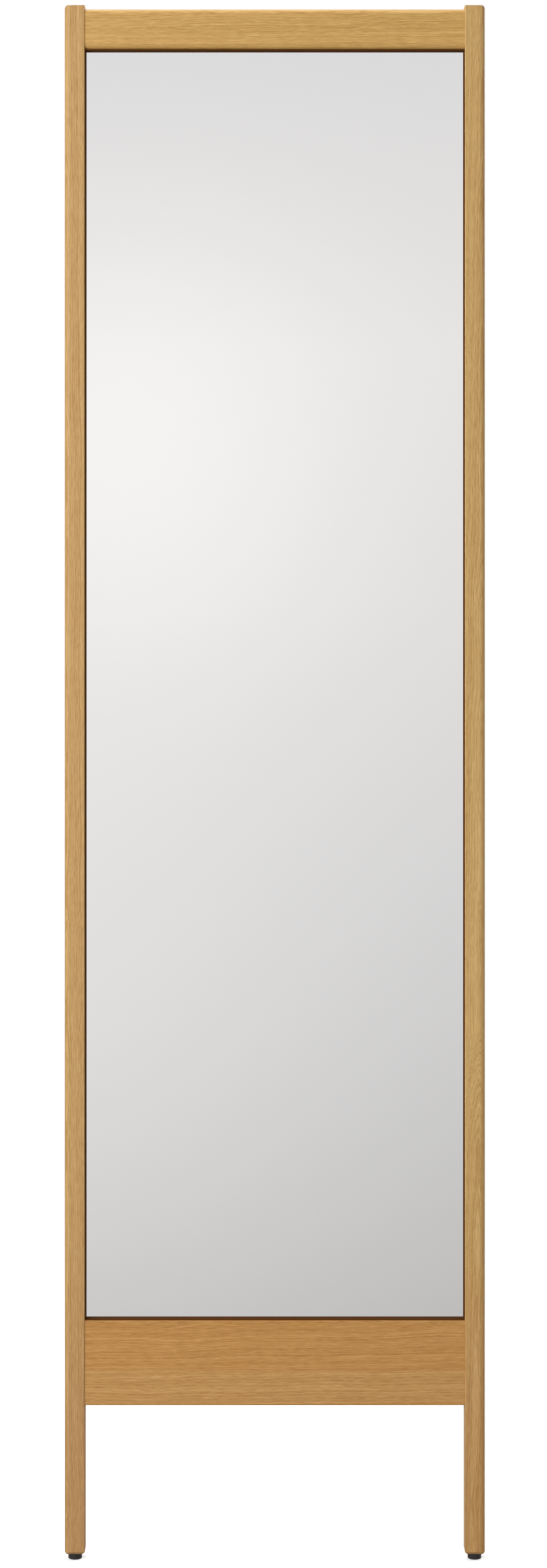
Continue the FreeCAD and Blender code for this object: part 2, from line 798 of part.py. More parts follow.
dowel = dowel_body()
half_height = "opening_height / 2"
sub_parts = [
    stile("left_stile", LEFT),
    stile("right_stile", RIGHT),
    top_rail(),
    bottom_rail(),
    rail_dowels("top_rail_dowels", "top", "sight_high", dowel),
    rail_dowels("bottom_rail_dowels", "bottom", "leg_length", dowel),
    glazing_strip("bottom_glazing_strip", "opening_width", 0, "0", "foot_drop + sight_low"),
    glazing_strip("top_glazing_strip", "opening_width", 2, "0", "foot_drop + sight_high"),
    glazing_strip(
        "left_glazing_strip",
        "opening_height",
        1,
        "-opening_width / 2",
        f"foot_drop + sight_low + {half_height}",
    ),
    glazing_strip(
        "right_glazing_strip",
        "opening_height",
        -1,
        "opening_width / 2",
        f"foot_drop + sight_low + {half_height}",
    ),
    glass_setting_blocks(),
    mirror_glass(),
    safety_film(),
    mounting_tape(),
    back_panel(),
    back_panel_screws(),
    wall_bracket_inserts(),
]
for word, side in (("left", LEFT), ("right", RIGHT)):
    sub_parts += [
        foot_insert(f"{word}_foot_insert", side),
        foot_stem(f"{word}_foot_stem", side),
        foot_pad(f"{word}_foot_pad", side),
        wall_bumper(f"{word}_wall_bumper", side),
    ]
doc.recompute()

for thing in doc.Objects:
    if "Invalid" in thing.State or "Error" in thing.State:
        raise RuntimeError(f"{thing.Label} failed to build")
    if thing.TypeId == "PartDesign::Pocket" and thing.Shape.Volume >= thing.BaseFeature.Shape.Volume:
        raise RuntimeError(f"{thing.Label} cuts nothing")
for sub_part in sub_parts:
    if sub_part.Shape.isNull() or not sub_part.Shape.isValid():
        raise RuntimeError(f"{sub_part.Label} has no valid shape")
for sub_part in sub_parts:
    sub_part.Shape.exportStep(f"parts/{sub_part.Label}.step")
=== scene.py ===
import math

import bmesh
import bpy
from mathutils import Matrix, Vector


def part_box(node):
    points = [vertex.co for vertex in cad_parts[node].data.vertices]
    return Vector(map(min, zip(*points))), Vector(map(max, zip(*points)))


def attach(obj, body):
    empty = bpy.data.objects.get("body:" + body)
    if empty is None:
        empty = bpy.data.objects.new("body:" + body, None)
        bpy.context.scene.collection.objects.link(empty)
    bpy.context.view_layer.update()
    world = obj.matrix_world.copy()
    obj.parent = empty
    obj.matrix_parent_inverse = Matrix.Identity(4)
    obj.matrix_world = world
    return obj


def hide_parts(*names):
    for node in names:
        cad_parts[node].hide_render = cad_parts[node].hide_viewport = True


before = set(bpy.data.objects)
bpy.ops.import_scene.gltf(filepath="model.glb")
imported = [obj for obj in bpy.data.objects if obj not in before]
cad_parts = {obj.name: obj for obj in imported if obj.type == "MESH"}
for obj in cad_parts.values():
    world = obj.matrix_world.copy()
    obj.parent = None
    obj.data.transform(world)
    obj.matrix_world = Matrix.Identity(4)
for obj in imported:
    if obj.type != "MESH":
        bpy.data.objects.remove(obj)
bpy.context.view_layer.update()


# The stiles: two straight lengths of solid oak, which run down past the bottom rail as the legs.
# Each is planed square, rounded over on its outer front edge and only eased on the inner ones. The
# router sinks the glass and panel rebates from behind and stops them short of the joints.
def rounded(corners, steps=14):
    """The points of a closed outline whose corners are (across, up, radius)."""
    outline = []
    for number, (across, up, radius) in enumerate(corners):
        corner = Vector((across, up))
        back = (Vector(corners[number - 1][:2]) - corner).normalized()
        onward = (Vector(corners[(number + 1) % len(corners)][:2]) - corner).normalized()
        if radius == 0:
            outline.append(corner)
            continue
        half = back.angle(onward) / 2
        centre = corner + (back + onward).normalized() * radius / math.sin(half)
        start = corner + back * radius / math.tan(half) - centre
        stop = corner + onward * radius / math.tan(half) - centre
        first = math.atan2(start.y, start.x)
        turn = (math.atan2(stop.y, stop.x) - first + math.pi) % (2 * math.pi) - math.pi
        for step in range(steps + 1):
            angle = first + turn * step / steps
            outline.append(centre + radius * Vector((math.cos(angle), math.sin(angle))))
    return outline


def ring(across, up, radius, steps=40):
    """The points of a circle."""
    turns = [2 * math.pi * step / steps for step in range(steps)]
    return [Vector((across + radius * math.cos(turn), up + radius * math.sin(turn))) for turn in turns]


def prism(outline, low, high, axis):
    """An outline drawn out along an axis, which keeps the order of the other two."""
    solid = bmesh.new()
    ends = []
    for reach in (low, high):
        places = [list(point) for point in outline]
        for place in places:
            place.insert("xyz".index(axis), reach)
        ends.append([solid.verts.new(place) for place in places])
        solid.faces.new(ends[-1])
    first, last = ends
    for number in range(len(outline)):
        solid.faces.new((first[number - 1], first[number], last[number], last[number - 1]))
    bmesh.ops.recalc_face_normals(solid, faces=solid.faces)
    return solid


def block(low, high):
    """A square-edged block between two corners."""
    left, right = sorted((low[0], high[0]))
    corners = [(left, low[1]), (right, low[1]), (right, high[1]), (left, high[1])]
    return prism(corners, low[2], high[2], "z")


def joined(*solids):
    """One mesh of several solids."""
    mesh = bpy.data.meshes.new("solids")
    whole = bmesh.new()
    for solid in solids:
        solid.to_mesh(mesh)
        whole.from_mesh(mesh)
        solid.free()
    bpy.data.meshes.remove(mesh)
    return whole


def make(name, *solids):
    """Puts solids into the scene as one piece."""
    whole = joined(*solids)
    mesh = bpy.data.meshes.new(name)
    whole.to_mesh(mesh)
    whole.free()
    made = bpy.data.objects.new(name, mesh)
    bpy.context.collection.objects.link(made)
    return made


def carve(body, *cutters):
    """Takes the cutters out of a piece."""
    cutter = make("cutter", *cutters)
    cut = body.modifiers.new("cut", "BOOLEAN")
    cut.solver = "EXACT"
    cut.use_self = True
    cut.object = cutter
    carved = body.evaluated_get(bpy.context.evaluated_depsgraph_get())
    body.data = bpy.data.meshes.new_from_object(carved)
    body.modifiers.clear()
    bpy.data.objects.remove(cutter)


def smooth(body, sharpest=32):
    """Shades rounds as rounds and keeps flats flat."""
    for face in body.data.polygons:
        face.use_smooth = True
    body.data.set_sharp_from_angle(angle=math.radians(sharpest))
    even = body.modifiers.new("even_normals", "WEIGHTED_NORMAL")
    even.keep_sharp = True


def new_finish(name):
    """An empty material: its node tree and its surface shader."""
    finish = bpy.data.materials.new(name)
    finish.use_nodes = True
    tree = finish.node_tree
    tree.nodes.clear()
    surface = tree.nodes.new("ShaderNodeBsdfPrincipled")
    output = tree.nodes.new("ShaderNodeOutputMaterial")
    tree.links.new(surface.outputs["BSDF"], output.inputs["Surface"])
    return finish, tree, surface


def node(tree, kind, feeds, out=0, **settings):
    """Adds a shader node, feeds its inputs and gives back one of its outputs."""
    made = tree.nodes.new("ShaderNode" + kind)
    for setting, choice in settings.items():
        setattr(made, setting, choice)
    for key, feed in feeds.items():
        if isinstance(feed, bpy.types.NodeSocket):
            tree.links.new(feed, made.inputs[key])
        else:
            made.inputs[key].default_value = feed
    return made.outputs[out]


def sum_of(tree, operation, *values, clamp=False):
    """A sum on numbers."""
    return node(tree, "Math", dict(enumerate(values)), operation=operation, use_clamp=clamp)


def place_sum(tree, operation, place, other):
    """A sum on places, or a place scaled by a number."""
    second = "Scale" if operation == "SCALE" else 1
    return node(tree, "VectorMath", {0: place, second: other}, operation=operation)


def ranged(tree, value, low, high, first=0.0, last=1.0, soft=False):
    """Carries a value from one range over to another and holds it there."""
    feeds = {"Value": value, 1: low, 2: high, 3: first, 4: last}
    return node(tree, "MapRange", feeds, interpolation_type="SMOOTHSTEP" if soft else "LINEAR")


def stretched(tree, place, across, along):
    """Coordinates counted in cells of a size across the grain and another along it."""
    return place_sum(tree, "MULTIPLY", place, (1 / across, 1 / across, 1 / along))


def noise(tree, place, cell, detail, out=0):
    """A cloudy pattern whose cells have a size across the grain and another along it."""
    return node(tree, "TexNoise", {"Vector": stretched(tree, place, *cell), "Detail": detail}, out=out)


def mixed(tree, share, one, other, blend="MIX"):
    """A mix of two colours."""
    feeds = {"Factor": share, "A": one, "B": other}
    return node(tree, "Mix", feeds, out="Result", data_type="RGBA", blend_type=blend)


def toned(tree, grain, share, dark, light):
    """A colour multiplied by a tone between a dark and a light one."""
    return mixed(tree, 1.0, grain, mixed(tree, share, dark, light), "MULTIPLY")


def bumped(tree, surface, relief, strength, depth):
    """Gives a surface the fine relief of a pattern."""
    feeds = {"Height": relief, "Strength": strength, "Distance": depth}
    tree.links.new(node(tree, "Bump", feeds, out="Normal"), surface.inputs["Normal"])


def colour(red, green, blue):
    """A colour given as it shows on a screen, 0 to 255."""
    shades = [shade / 255 for shade in (red, green, blue)]
    linear = [((shade + 0.055) / 1.055) ** 2.4 if shade > 0.04 else shade / 12.92 for shade in shades]
    return (*linear, 1)


def ramp(tree, share, *stops):
    """Colours along a scale from 0 to 1."""
    made = tree.nodes.new("ShaderNodeValToRGB")
    tree.links.new(share, made.inputs["Fac"])
    stages = made.color_ramp.elements
    while len(stages) < len(stops):
        stages.new(1)
    for stage, (place, shade) in zip(stages, stops):
        stage.position = place
        stage.color = shade
    return made.outputs["Color"]


NOISE_LOW = 0.3
NOISE_HIGH = 0.7
BLACK = (0, 0, 0, 1)
WHITE = (1, 1, 1, 1)
EARLY_WOOD = colour(170, 125, 76)
MID_WOOD = colour(196, 160, 108)
LATE_WOOD = colour(205, 171, 120)
PORE = colour(134, 90, 48)
RAY = colour(172, 128, 78)
FIBRE_TONES = ((0.945, 0.93, 0.905, 1), (1.03, 1.035, 1.045, 1))
STREAK_TONES = ((0.84, 0.79, 0.71, 1), (1.07, 1.08, 1.085, 1))
EARLY_PEAK = 0.2
MID_END = 0.45
LATE_PEAK = 0.75
WAVE_CELL = (0.13, 0.45)
WAVE_HEIGHT = 0.0045
RING_WIDTH = 0.0031
SEASONS_PER_METRE = 130
SEASON_SHIFT = 2.2
PATCH_CELL = (0.006, 0.07)
PATCH_SPAN = (0.35, 0.65)
PATCH_SHARES = (0.05, 0.6)
FIBRE_CELL = (0.0012, 0.018)
STREAK_CELL = (0.003, 0.07)
STREAK_SPAN = (0.34, 0.66)
CLOUD_CELL = (0.022, 0.3)
PORE_CELL = (0.00085, 0.014)
PORE_SIZE = 0.12
EARLY_PORE_GAIN = 0.22
PORE_LUCK = 1.1
LEAST_LUCK = 0.3
PORE_EDGE = 6.0
PORE_SHARE = 0.34
RAY_ARC = 0.0013
RAY_DEPTH = 0.006
RAY_LENGTH = 0.012
RAY_FAN_RADIUS = 0.06
RAY_SIZE = 0.22
RAY_EDGE = 7.0
RAY_SHARE = 0.25
# Painted shade: a stile darkens from the first height down to the second, towards its foot.
FOOT_SHADE_START = 0.5
FOOT_SHADE_END = 0.12
LOWER_BOARD_JUMP = (0.31, 0.004, 0.019)
LOWER_BOARD_TONE = (1.03, 1.1, 1.23, 1)
OAK_ROUGHNESS = 0.52
PORE_ROUGHNESS = 0.2
OAK_SHEEN = 0.32
FIBRE_RISE = 0.3
OAK_RELIEF = (0.45, 0.0001)


def in_the_log(tree, place, along, heart, lean, swell, lower_board):
    """Where each point of a board lay in its log, whose heart stands upright at zero, and how high.
    The two boards of a glued-up width are sawn from different places."""
    if lower_board is not None:
        jump = place_sum(tree, "SCALE", LOWER_BOARD_JUMP, lower_board)
        place = place_sum(tree, "ADD", place, jump)
    turn = (0, -math.pi / 2, 0) if along == "x" else (0, 0, 0)
    place = node(tree, "Mapping", {"Vector": place, "Rotation": turn, "Location": heart})
    height = node(tree, "SeparateXYZ", {0: place}, out="Z")
    place = place_sum(tree, "ADD", place, place_sum(tree, "SCALE", (*lean, 0), height))
    if swell:
        low, high, growth = swell
        girth = ranged(tree, height, low, high, 0.0, growth, soft=True)
        place = place_sum(tree, "ADD", place, node(tree, "CombineXYZ", {1: girth}))
    wave = noise(tree, place, WAVE_CELL, detail=0.0, out="Color")
    wave = place_sum(tree, "SUBTRACT", wave, (0.5, 0.5, 0.5))
    return place_sum(tree, "ADD", place, place_sum(tree, "SCALE", wave, WAVE_HEIGHT)), height


def year_ring(tree, radius, ring_width):
    """How far through its year each point grew, 0 to 1, in rings of uneven width."""
    seasons = {"W": sum_of(tree, "MULTIPLY", radius, SEASONS_PER_METRE), "Detail": 1.0}
    season = node(tree, "TexNoise", seasons, noise_dimensions="1D")
    rings = sum_of(tree, "DIVIDE", radius, ring_width)
    return sum_of(tree, "FRACT", sum_of(tree, "MULTIPLY_ADD", season, SEASON_SHIFT, rings))


def pore_dashes(tree, place, early):
    """Open pores, cut along as fine dashes, larger in the early wood."""
    pores = tree.nodes.new("ShaderNodeTexVoronoi")
    tree.links.new(stretched(tree, place, *PORE_CELL), pores.inputs["Vector"])
    pores.inputs["Scale"].default_value = 1.0
    luck = node(tree, "SeparateXYZ", {0: pores.outputs["Color"]}, out="X")
    size = sum_of(tree, "MULTIPLY_ADD", early, EARLY_PORE_GAIN, PORE_SIZE)
    size = sum_of(tree, "MULTIPLY", size, sum_of(tree, "MULTIPLY_ADD", luck, PORE_LUCK, LEAST_LUCK))
    pore = sum_of(tree, "SUBTRACT", size, pores.outputs["Distance"])
    return sum_of(tree, "MULTIPLY", pore, PORE_EDGE, clamp=True)


def ray_flecks(tree, place, radius, height):
    """Rays, which run out from the heart of the log like the leaves of a fan."""
    sideways = node(tree, "SeparateXYZ", {0: place}, out="X")
    forward = node(tree, "SeparateXYZ", {0: place}, out="Y")
    swing = sum_of(tree, "MULTIPLY", sum_of(tree, "ARCTAN2", sideways, forward), RAY_FAN_RADIUS / RAY_ARC)
    outward = sum_of(tree, "DIVIDE", radius, RAY_DEPTH)
    upward = sum_of(tree, "DIVIDE", height, RAY_LENGTH)
    fan = node(tree, "CombineXYZ", {0: swing, 1: outward, 2: upward})
    rays = node(tree, "TexVoronoi", {"Vector": fan, "Scale": 1.0}, out="Distance")
    return sum_of(tree, "MULTIPLY", sum_of(tree, "SUBTRACT", RAY_SIZE, rays), RAY_EDGE, clamp=True)


def oak(name, along, heart, lean, tones, ring_width=RING_WIDTH, foot_shade=None, swell=None, glue_line=None):
    """Oiled oak sawn from a log. Heart is where the board lies from the log's heart, and lean is how
    far the log's axis leaves the board's, per length. The tone given for the foot is painted shade:
    the wood darkens towards it, where less light falls. Swell is where, along the board, the trunk
    swells and by how much, which draws flames."""
    finish, tree, surface = new_finish(name)
    spot = node(tree, "TexCoord", {}, out="Object")
    up = node(tree, "SeparateXYZ", {0: spot}, out="Z")
    lower_board = sum_of(tree, "LESS_THAN", up, glue_line) if glue_line else None
    place, height = in_the_log(tree, spot, along, heart, lean, swell, lower_board)
    across = place_sum(tree, "MULTIPLY", place, (1, 1, 0))
    radius = node(tree, "VectorMath", {0: across}, operation="LENGTH", out="Value")

    year = year_ring(tree, radius, ring_width)
    grain = ramp(tree, year, (0, MID_WOOD), (MID_END, MID_WOOD), (LATE_PEAK, LATE_WOOD), (1.0, MID_WOOD))
    early = ramp(tree, year, (0, BLACK), (EARLY_PEAK, WHITE), (LATE_PEAK, BLACK))
    patch = ranged(tree, noise(tree, place, PATCH_CELL, detail=2.0), *PATCH_SPAN, *PATCH_SHARES)
    grain = mixed(tree, sum_of(tree, "MULTIPLY", early, patch), grain, EARLY_WOOD)

    fibre = noise(tree, place, FIBRE_CELL, detail=3.0)
    streak = noise(tree, place, STREAK_CELL, detail=2.0)
    cloud = noise(tree, place, CLOUD_CELL, detail=2.0)
    grain = toned(tree, grain, ranged(tree, fibre, NOISE_LOW, NOISE_HIGH), *FIBRE_TONES)
    grain = toned(tree, grain, ranged(tree, streak, *STREAK_SPAN), *STREAK_TONES)
    grain = toned(tree, grain, ranged(tree, cloud, NOISE_LOW, NOISE_HIGH), *tones)
    # Painted shade: the wood darkens towards the foot, where less light falls.
    if foot_shade:
        grain = toned(tree, grain, ranged(tree, up, FOOT_SHADE_START, FOOT_SHADE_END, soft=True), WHITE, foot_shade)
    if glue_line:
        grain = toned(tree, grain, lower_board, WHITE, LOWER_BOARD_TONE)

    pore = pore_dashes(tree, place, early)
    grain = mixed(tree, sum_of(tree, "MULTIPLY", pore, PORE_SHARE), grain, PORE)
    ray = ray_flecks(tree, place, radius, height)
    grain = mixed(tree, sum_of(tree, "MULTIPLY", ray, RAY_SHARE), grain, RAY)

    tree.links.new(grain, surface.inputs["Base Color"])
    dullness = sum_of(tree, "MULTIPLY_ADD", pore, PORE_ROUGHNESS, OAK_ROUGHNESS)
    tree.links.new(dullness, surface.inputs["Roughness"])
    surface.inputs["Specular IOR Level"].default_value = OAK_SHEEN
    relief = sum_of(tree, "MULTIPLY_ADD", fibre, FIBRE_RISE, sum_of(tree, "MULTIPLY", pore, -1.0))
    bumped(tree, surface, relief, *OAK_RELIEF)
    return finish


SIGHT_LOW = 0.297
SIGHT_HIGH = 1.869
GLASS_REBATE = -0.00465
GLASS_STEP = 0.0065
PANEL_REBATE = 0.00155
PANEL_STEP = 0.016
INNER_EASE = 0.0012
FRONT_ROUND = 0.007
BACK_ROUND = 0.004
TOP_ROUND = 0.0045
TOP_STEPS = 12
LEG_CHAMFER = 0.003
OVERRUN = 0.002
FOOT_HOLE = 0.00455
STEM_HOLE = 0.0035
STEM_HOLE_TOP = 0.038
BUMPER_HOLE = 0.00255
BUMPER_HOLE_END = 0.00625
BUMPER_HEIGHT = 1.909
LEFT_HEART = (0.292, 0.055, 0.4)
LEFT_LEAN = (0.004, 0.002)
LEFT_TONES = ((0.97, 0.91, 0.77, 1), (1.03, 1.0, 0.91, 1))
# Painted shade at the foot of the left stile.
LEFT_FOOT_SHADE = (0.92, 0.865, 0.92, 1)
RIGHT_HEART = (-0.2425, 0.0225, 0)
RIGHT_LEAN = (-0.02, 0.004)
RIGHT_TONES = ((1.05, 1.03, 0.86, 1), (1.11, 1.12, 1.0, 1))
# Painted shade at the foot of the right stile, a little redder.
RIGHT_FOOT_SHADE = (0.9, 0.8, 0.79, 1)
RIGHT_RING_WIDTH = 0.0021
RIGHT_SWELL = (0.5, 0.66, 0.013)


def corner_cutter(edge, inward, floor, low, high, axis):
    """A wedge that chamfers one lower edge."""
    outline = [
        (edge - inward * OVERRUN, floor - OVERRUN),
        (edge + inward * (LEG_CHAMFER + OVERRUN), floor - OVERRUN),
        (edge - inward * OVERRUN, floor + LEG_CHAMFER + OVERRUN),
    ]
    return prism(outline, low - OVERRUN, high + OVERRUN, axis)


def stile(name, side, finish):
    """One stile with its rounds, rebates and holes. Side is 1 on the right and -1 on the left."""
    low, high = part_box(name)
    inner, outer = (low.x, high.x) if side > 0 else (high.x, low.x)
    middle = ((low.x + high.x) / 2, (low.y + high.y) / 2)
    section = rounded(
        [
            (inner, low.y, INNER_EASE),
            (outer, low.y, FRONT_ROUND),
            (outer, high.y, BACK_ROUND),
            (inner, high.y, INNER_EASE),
        ]
    )
    wood = make("oak_" + name, prism(section, low.z, high.z, "z"))
    bend = (outer - side * TOP_ROUND, high.z - TOP_ROUND)
    shoulder = []
    for step in range(TOP_STEPS + 1):
        turn = math.pi / 2 * step / TOP_STEPS
        point = (bend[0] + side * TOP_ROUND * math.sin(turn), bend[1] + TOP_ROUND * math.cos(turn))
        shoulder.append(point)
    shoulder += [
        (outer + side * OVERRUN, bend[1]),
        (outer + side * OVERRUN, high.z + OVERRUN),
        (bend[0], high.z + OVERRUN),
    ]
    cutters = [prism(shoulder, low.y - OVERRUN, high.y + OVERRUN, "y")]
    for edge, inward in ((inner, side), (outer, -side)):
        cutters.append(corner_cutter(edge, inward, low.z, low.y, high.y, "y"))
    for edge, inward in ((low.y, 1), (high.y, -1)):
        cutters.append(corner_cutter(edge, inward, low.z, low.x, high.x, "x"))
    for front, step in ((GLASS_REBATE, GLASS_STEP), (PANEL_REBATE, PANEL_STEP)):
        start = (inner - side * OVERRUN, front, SIGHT_LOW - step)
        cutters.append(block(start, (inner + side * step, high.y + OVERRUN, SIGHT_HIGH + step)))
    cutters.append(prism(ring(*middle, FOOT_HOLE), low.z - OVERRUN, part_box("left_foot_insert")[1].z, "z"))
    cutters.append(prism(ring(*middle, STEM_HOLE), low.z, STEM_HOLE_TOP, "z"))
    bumper_ring = ring(middle[0], BUMPER_HEIGHT, BUMPER_HOLE)
    cutters.append(prism(bumper_ring, BUMPER_HOLE_END, high.y + OVERRUN, "y"))
    carve(wood, *cutters)
    smooth(wood)
    wood.data.materials.append(finish)
    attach(wood, "frame")
    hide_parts(name)


left_oak = oak("oak_left", "z", LEFT_HEART, LEFT_LEAN, LEFT_TONES, foot_shade=LEFT_FOOT_SHADE)
right_oak = oak(
    "oak_right", "z", RIGHT_HEART, RIGHT_LEAN, RIGHT_TONES, RIGHT_RING_WIDTH, RIGHT_FOOT_SHADE, RIGHT_SWELL
)
stile("left_stile", -1, left_oak)
stile("right_stile", 1, right_oak)


# The rails: the top rail is moulded to its section in one length, with both front edges rounded
# over. The wide bottom rail is glued up from two boards and keeps crisp front edges. Both stand a
# little behind the stiles' faces and carry the rebates for the glass and the back panel.
TOP_RAIL_ROUND = 0.007
RAIL_BACK_ROUND = 0.0025
LOWER_FRONT_ROUND = 0.002
UPPER_FRONT_ROUND = 0.001
RAIL_ARRIS = 0.0003
BRACKET_SPOTS = (-0.16, 0.16)
BRACKET_HEIGHT = 1.902
BRACKET_SOCKET = 0.00405
BRACKET_SOCKET_END = -0.00275
GLUE_LINE = 0.2354
TOP_RAIL_HEART = (1.93, 0.05, 0.2)
TOP_RAIL_LEAN = (0.003, 0.009)
TOP_RAIL_TONES = ((1.06, 0.98, 0.69, 1), (1.14, 1.1, 0.82, 1))
BOTTOM_RAIL_HEART = (0.30, 0.06, 0.6)
BOTTOM_RAIL_LEAN = (0.006, 0.008)
BOTTOM_RAIL_TONES = ((0.97, 0.765, 0.51, 1), (1.03, 0.845, 0.61, 1))


def rail(name, corners, finish, sockets=()):
    """One rail of a section, bored where it has sockets."""
    low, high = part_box(name)
    wood = make("oak_" + name, prism(rounded(corners), low.x, high.x, "x"))
    if sockets:
        carve(wood, *sockets)
    smooth(wood)
    wood.data.materials.append(finish)
    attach(wood, "frame")
    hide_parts(name)


low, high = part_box("top_rail")
bracket_rings = [ring(across, BRACKET_HEIGHT, BRACKET_SOCKET) for across in BRACKET_SPOTS]
rail(
    "top_rail",
    [
        (low.y, low.z, TOP_RAIL_ROUND),
        (GLASS_REBATE, low.z, 0),
        (GLASS_REBATE, low.z + GLASS_STEP, 0),
        (PANEL_REBATE, low.z + GLASS_STEP, 0),
        (PANEL_REBATE, low.z + PANEL_STEP, 0),
        (high.y, low.z + PANEL_STEP, RAIL_ARRIS),
        (high.y, high.z, RAIL_BACK_ROUND),
        (low.y, high.z, TOP_RAIL_ROUND),
    ],
    oak("oak_top", "x", TOP_RAIL_HEART, TOP_RAIL_LEAN, TOP_RAIL_TONES),
    [prism(outline, BRACKET_SOCKET_END, high.y + OVERRUN, "y") for outline in bracket_rings],
)
low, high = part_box("bottom_rail")
rail(
    "bottom_rail",
    [
        (low.y, low.z, LOWER_FRONT_ROUND),
        (high.y, low.z, RAIL_BACK_ROUND),
        (high.y, high.z - PANEL_STEP, RAIL_ARRIS),
        (PANEL_REBATE, high.z - PANEL_STEP, 0),
        (PANEL_REBATE, high.z - GLASS_STEP, 0),
        (GLASS_REBATE, high.z - GLASS_STEP, 0),
        (GLASS_REBATE, high.z, 0),
        (low.y, high.z, UPPER_FRONT_ROUND),
    ],
    oak("oak_bottom", "x", BOTTOM_RAIL_HEART, BOTTOM_RAIL_LEAN, BOTTOM_RAIL_TONES, glue_line=GLUE_LINE),
)


# The dowels: short fluted pegs of raw beech, glued into both ends of each rail and into the stiles.
# They hold the four joints and are out of sight.
BEECH_SHADES = (colour(196, 160, 120), colour(216, 182, 142))
BEECH_CELLS_PER_METRE = (40, 900, 900)
BEECH_ROUGHNESS = 0.7


def paint(name, finish):
    """Gives a CAD node its finish."""
    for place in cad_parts[name].material_slots:
        place.material = finish


def two_shades(tree, pattern, dark, light):
    """A colour that goes from dark to light as a noise pattern rises."""
    return ramp(tree, pattern, (NOISE_LOW, dark), (NOISE_HIGH, light))


beech, tree, surface = new_finish("beech_raw")
place = node(tree, "TexCoord", {}, out="Object")
fleck_place = place_sum(tree, "MULTIPLY", place, BEECH_CELLS_PER_METRE)
fleck = node(tree, "TexNoise", {"Vector": fleck_place, "Detail": 3.0})
tree.links.new(two_shades(tree, fleck, *BEECH_SHADES), surface.inputs["Base Color"])
surface.inputs["Roughness"].default_value = BEECH_ROUGHNESS
for name in ("top_rail_dowels", "bottom_rail_dowels"):
    paint(name, beech)


# The glazing strips: thin dark brown L-shaped strips, mitred at the corners. One leg lines the edge
# of the opening in front of the glass and the other lies between the oak lip and the glass. Their
# dark brown is partly their own colour and partly painted shade, kept dark so that the reveal round
# the glass looks like a deep shaded groove.
SIGHT = 0.235
STRIP_THICKNESS = 0.0013
STRIP_LEG = 0.0082
STRIP_FLANGE = 0.005
FLANGE_THICKNESS = 0.001
STRIP_ROUND = 0.0004
# Dark brown, partly painted shade for the reveal round the glass.
STRIP_BROWN_AND_SHADE = (colour(78, 46, 17), colour(94, 57, 24))
STRIP_CELL = (0.0016, 0.0016)
STRIP_SURFACE = {"Roughness": 0.8, "Specular IOR Level": 0.02}
STRIP_RELIEF = (0.3, 0.0001)


def speckled(name, cell, shades, values, relief=None, detail=2.0):
    """A finish whose colour wanders between two shades. Values are its surface's uniform values,
    relief is how strong and how deep its texture is, and detail is how fine the wandering goes."""
    finish, tree, surface = new_finish(name)
    place = node(tree, "TexCoord", {}, out="Object")
    pattern = noise(tree, place, cell, detail)
    tree.links.new(two_shades(tree, pattern, *shades), surface.inputs["Base Color"])
    for socket, value in values.items():
        surface.inputs[socket].default_value = value
    if relief:
        bumped(tree, surface, pattern, *relief)
    return finish


def strip_point(side, inward, back, end):
    """A point of a strip: how far inside the opening, how far behind the glass's face, which end."""
    up = SIGHT_HIGH - inward if side == "top" else SIGHT_LOW + inward
    if side in ("top", "bottom"):
        return (end * (SIGHT - inward), back, up)
    across = (SIGHT - inward) * (1 if side == "right" else -1)
    return (across, back, SIGHT_HIGH - inward if end > 0 else SIGHT_LOW + inward)


# The strips' finish: dark brown, darkened further as painted shade for the reveal.
strip_brown_and_shade = speckled(
    "strip_brown_and_shade", STRIP_CELL, STRIP_BROWN_AND_SHADE, STRIP_SURFACE, STRIP_RELIEF, detail=3.0
)
glass_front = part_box("mirror_glass")[0].y
profile = rounded(
    [
        (0, glass_front - STRIP_LEG, STRIP_ROUND),
        (STRIP_THICKNESS, glass_front - STRIP_LEG, STRIP_ROUND),
        (STRIP_THICKNESS, glass_front, 0),
        (-STRIP_FLANGE, glass_front, 0),
        (-STRIP_FLANGE, glass_front - FLANGE_THICKNESS, 0),
        (0, glass_front - FLANGE_THICKNESS, 0),
    ],
    steps=4,
)
for side in ("top", "bottom", "left", "right"):
    strip = bmesh.new()
    ends = []
    for end in (-1, 1):
        ends.append([strip.verts.new(strip_point(side, *point, end)) for point in profile])
        strip.faces.new(ends[-1])
    for number in range(len(profile)):
        first, last = ends
        strip.faces.new((first[number - 1], first[number], last[number], last[number - 1]))
    bmesh.ops.recalc_face_normals(strip, faces=strip.faces)
    strip_piece = make(side + "_brown_strip", strip)
    smooth(strip_piece, sharpest=50)
    strip_piece.data.materials.append(strip_brown_and_shade)
    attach(strip_piece, "frame")
    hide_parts(side + "_glazing_strip")


# The setting blocks: two short strips cut from black rubber. They lie in the bottom rail's rebate
# and carry the glass's lower edge, so that it never rests on the wood.
BLOCK_SHADES = (colour(30, 30, 30), colour(44, 44, 43))
BLOCK_CELL = (0.0006, 0.0006)

block_rubber = speckled("block_rubber", BLOCK_CELL, BLOCK_SHADES, {"Roughness": 0.8})
paint("glass_setting_blocks", block_rubber)


# The mirror: one sheet of 4 mm float glass with ground arrises, silvered on its back under a coat
# of grey paint. Seen from the front it is all silver, and its edges are ground and green.
ARRIS = 0.0005
FACING = 0.9
SILVER = colour(249, 248, 249)
RIPPLE_CELL = (0.3, 0.3)
RIPPLE_RELIEF = (0.05, 0.001)
EDGE_SHADES = (colour(120, 150, 138), colour(168, 190, 180))
EDGE_CELL = (0.0004, 0.0004)
PAINT_SHADES = (colour(92, 98, 100), colour(104, 109, 110))
PAINT_CELL = (0.02, 0.02)

